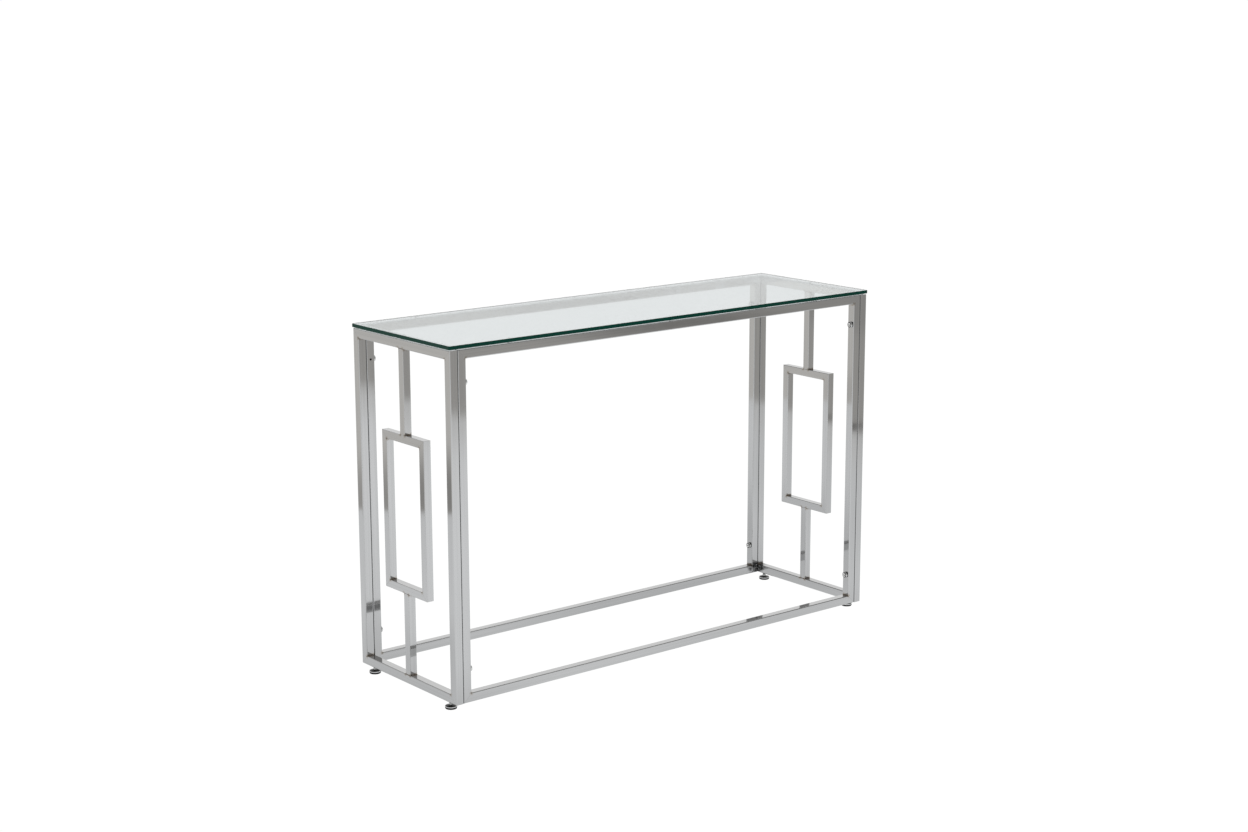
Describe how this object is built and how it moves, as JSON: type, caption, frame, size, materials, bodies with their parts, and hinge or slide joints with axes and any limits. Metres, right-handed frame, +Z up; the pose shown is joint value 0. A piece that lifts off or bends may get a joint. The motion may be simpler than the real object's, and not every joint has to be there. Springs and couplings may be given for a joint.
{
  "type": "console table",
  "caption": "Narrow console table: a clear glass top resting on bolted frames of polished square tube, with a slim rectangle in each open end and levelling feet.",
  "frame": {"origin": "on the floor, under the centre of the table top", "axes": "+X along the length, -Y the front, +Z up"},
  "size_m": [1.2, 0.372, 0.785],
  "materials": {
    "frame_chrome": "mirror polished steel tube",
    "panel_chrome": "mirror polished steel tube, lightly heat-tinted at the welds",
    "table_glass": "clear float glass with a polished dark green edge",
    "clear_disc": "clear soft plastic",
    "bolt_chrome": "bright plated",
    "nut_steel": "plain steel",
    "foot_plastic": "black moulded plastic",
    "foot_chrome": "bright plated",
    "stud_steel": "zinc plated"
  },
  "bodies": {
    "frame": {"back_frame_bottom_rail": "frame_chrome", "back_frame_left_post": "frame_chrome", "back_frame_right_post": "frame_chrome", "back_frame_top_rail": "frame_chrome", "foot_nuts": "nut_steel", "frame_bolts": "bolt_chrome", "frame_nuts": "nut_steel", "front_frame_bottom_rail": "frame_chrome", "front_frame_left_post": "frame_chrome", "front_frame_right_post": "frame_chrome", "front_frame_top_rail": "frame_chrome", "glass_discs": "clear_disc", "left_end_back_post": "frame_chrome", "left_end_bottom_rail": "frame_chrome", "left_end_front_post": "frame_chrome", "left_end_top_rail": "frame_chrome", "left_panel_back_stile": "panel_chrome", "left_panel_bottom_bar": "panel_chrome", "left_panel_front_stile": "panel_chrome", "left_panel_lower_bar": "panel_chrome", "left_panel_top_bar": "panel_chrome", "left_panel_upper_bar": "panel_chrome", "right_end_back_post": "frame_chrome", "right_end_bottom_rail": "frame_chrome", "right_end_front_post": "frame_chrome", "right_end_top_rail": "frame_chrome", "right_panel_back_stile": "panel_chrome", "right_panel_bottom_bar": "panel_chrome", "right_panel_front_stile": "panel_chrome", "right_panel_lower_bar": "panel_chrome", "right_panel_top_bar": "panel_chrome", "right_panel_upper_bar": "panel_chrome"},
    "glass": {"glass_top": "table_glass"},
    "front_left_foot": {"front_left_foot_base": "foot_plastic", "front_left_foot_cover": "foot_chrome"},
    "front_left_stud": {"front_left_foot_stud": "stud_steel"},
    "front_right_foot": {"front_right_foot_base": "foot_plastic", "front_right_foot_cover": "foot_chrome"},
    "front_right_stud": {"front_right_foot_stud": "stud_steel"},
    "back_left_foot": {"back_left_foot_base": "foot_plastic", "back_left_foot_cover": "foot_chrome"},
    "back_left_stud": {"back_left_foot_stud": "stud_steel"},
    "back_right_foot": {"back_right_foot_base": "foot_plastic", "back_right_foot_cover": "foot_chrome"},
    "back_right_stud": {"back_right_foot_stud": "stud_steel"}
  },
  "joints": [
    {"name": "glass_lift", "type": "slide", "parent": "frame", "child": "glass", "axis": [0, 0, 1], "range_m": [0, 0.06]},
    {"name": "front_left_level", "type": "slide", "parent": "frame", "child": "front_left_foot", "axis": [0, 0, 1], "range_m": [-0.005, 0.005]},
    {"name": "front_left_turn", "type": "hinge", "parent": "front_left_foot", "child": "front_left_stud", "pos_m": [-0.587, -0.149, 0], "axis": [0, 0, 1], "range_deg": [-1445, 1445]},
    {"name": "front_right_level", "type": "slide", "parent": "frame", "child": "front_right_foot", "axis": [0, 0, 1], "range_m": [-0.005, 0.005]},
    {"name": "front_right_turn", "type": "hinge", "parent": "front_right_foot", "child": "front_right_stud", "pos_m": [0.587, -0.149, 0], "axis": [0, 0, 1], "range_deg": [-1445, 1445]},
    {"name": "back_left_level", "type": "slide", "parent": "frame", "child": "back_left_foot", "axis": [0, 0, 1], "range_m": [-0.005, 0.005]},
    {"name": "back_left_turn", "type": "hinge", "parent": "back_left_foot", "child": "back_left_stud", "pos_m": [-0.587, 0.149, 0], "axis": [0, 0, 1], "range_deg": [-1445, 1445]},
    {"name": "back_right_level", "type": "slide", "parent": "frame", "child": "back_right_foot", "axis": [0, 0, 1], "range_m": [-0.005, 0.005]},
    {"name": "back_right_turn", "type": "hinge", "parent": "back_right_foot", "child": "back_right_stud", "pos_m": [0.587, 0.149, 0], "axis": [0, 0, 1], "range_deg": [-1445, 1445]}
  ],
  "couplings": [
    {"joint": "front_left_turn", "follows": "front_left_level", "rad_per_m": 5026.5},
    {"joint": "front_right_turn", "follows": "front_right_level", "rad_per_m": 5026.5},
    {"joint": "back_left_turn", "follows": "back_left_level", "rad_per_m": 5026.5},
    {"joint": "back_right_turn", "follows": "back_right_level", "rad_per_m": 5026.5}
  ]
}
